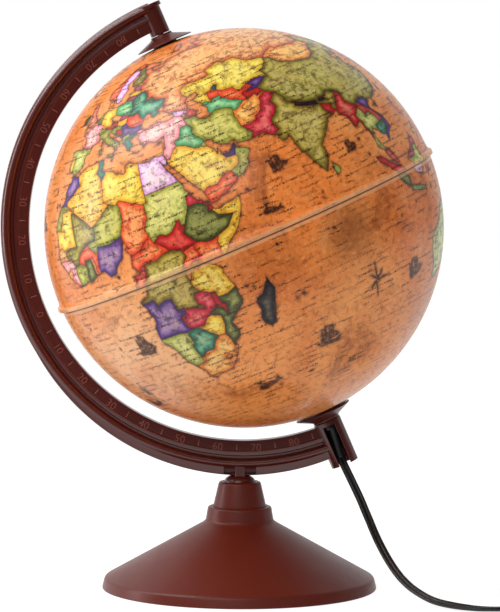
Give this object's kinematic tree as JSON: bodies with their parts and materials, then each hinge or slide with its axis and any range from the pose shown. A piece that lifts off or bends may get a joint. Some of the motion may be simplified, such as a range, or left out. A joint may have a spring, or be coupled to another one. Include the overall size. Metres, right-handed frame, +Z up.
{
  "type": "illuminated desk globe",
  "caption": "Lit two-part globe that turns on a tilted axis in a graduated half-meridian arm on a conical foot, with lamp, flat cord, in-line switch and plug.",
  "frame": {"origin": "centre of the foot's underside, on the foot's upright axis", "axes": "+Z up, +X to the right with the arm's bow on the -X side, the viewer looks along +Y"},
  "size_m": [0.426, 0.2644, 0.3839],
  "materials": {
    "foot_brown": "moulded plastic with a soft shine",
    "arm_brown": "moulded dark brown plastic, glossy, with raised numbers",
    "cap_brown": "moulded plastic, glossy",
    "map_shell": "varnished print of an old-style map on thin translucent shells",
    "steel": "zinc-plated",
    "black_plastic": "moulded, satin",
    "cream_plastic": "heat-proof moulding",
    "brass": "plain",
    "lamp_glass": "clear",
    "lamp_cap": "plain",
    "lamp_insulator": "black glass",
    "filament": "drawn wire",
    "cord_black": "soft vinyl, satin",
    "tie_black": "soft",
    "lead_blue": "vinyl insulation",
    "pin_nickel": "nickel plate"
  },
  "bodies": {
    "stand": {"base_shell": "foot_brown", "neck_sleeve": "foot_brown", "arm": "arm_brown", "base_washer": "steel", "base_screw": "steel", "lamp_tube": "steel", "switch_screws": "steel", "holder_cap": "black_plastic", "holder_skirt": "black_plastic", "cord_relief": "black_plastic", "switch_base": "black_plastic", "switch_cover": "black_plastic", "plug_relief": "black_plastic", "plug_body": "black_plastic", "plug_sleeves": "black_plastic", "holder_insert": "cream_plastic", "thread_contact": "brass", "centre_contact": "brass", "terminal_screws": "brass", "switch_contacts": "brass", "bulb_glass": "lamp_glass", "bulb_stem": "lamp_glass", "bulb_screw_cap": "lamp_cap", "bulb_tip": "lamp_cap", "bulb_insulator": "lamp_insulator", "bulb_filament": "filament", "cord_inner": "cord_black", "cord_lead": "cord_black", "cord_link": "cord_black", "cord_coil": "cord_black", "cord_tail": "cord_black", "coil_tie": "tie_black", "lead_cores": "lead_blue", "plug_pins": "pin_nickel"},
    "globe": {"north_pin": "steel", "north_cap": "cap_brown", "north_shell": "map_shell", "south_shell": "map_shell", "south_cap": "cap_brown"},
    "rocker": {"switch_rocker": "black_plastic"}
  },
  "joints": [
    {"name": "globe_spin", "type": "hinge", "parent": "stand", "child": "globe", "pos_m": [0.002, 0, 0.236], "axis": [-0.3987, 0, 0.9171], "continuous": true},
    {"name": "rocker_tip", "type": "hinge", "parent": "stand", "child": "rocker", "pos_m": [0.19, -0.017, 0.0114], "axis": [1, 0, 0], "range_deg": [-14, 0]}
  ]
}
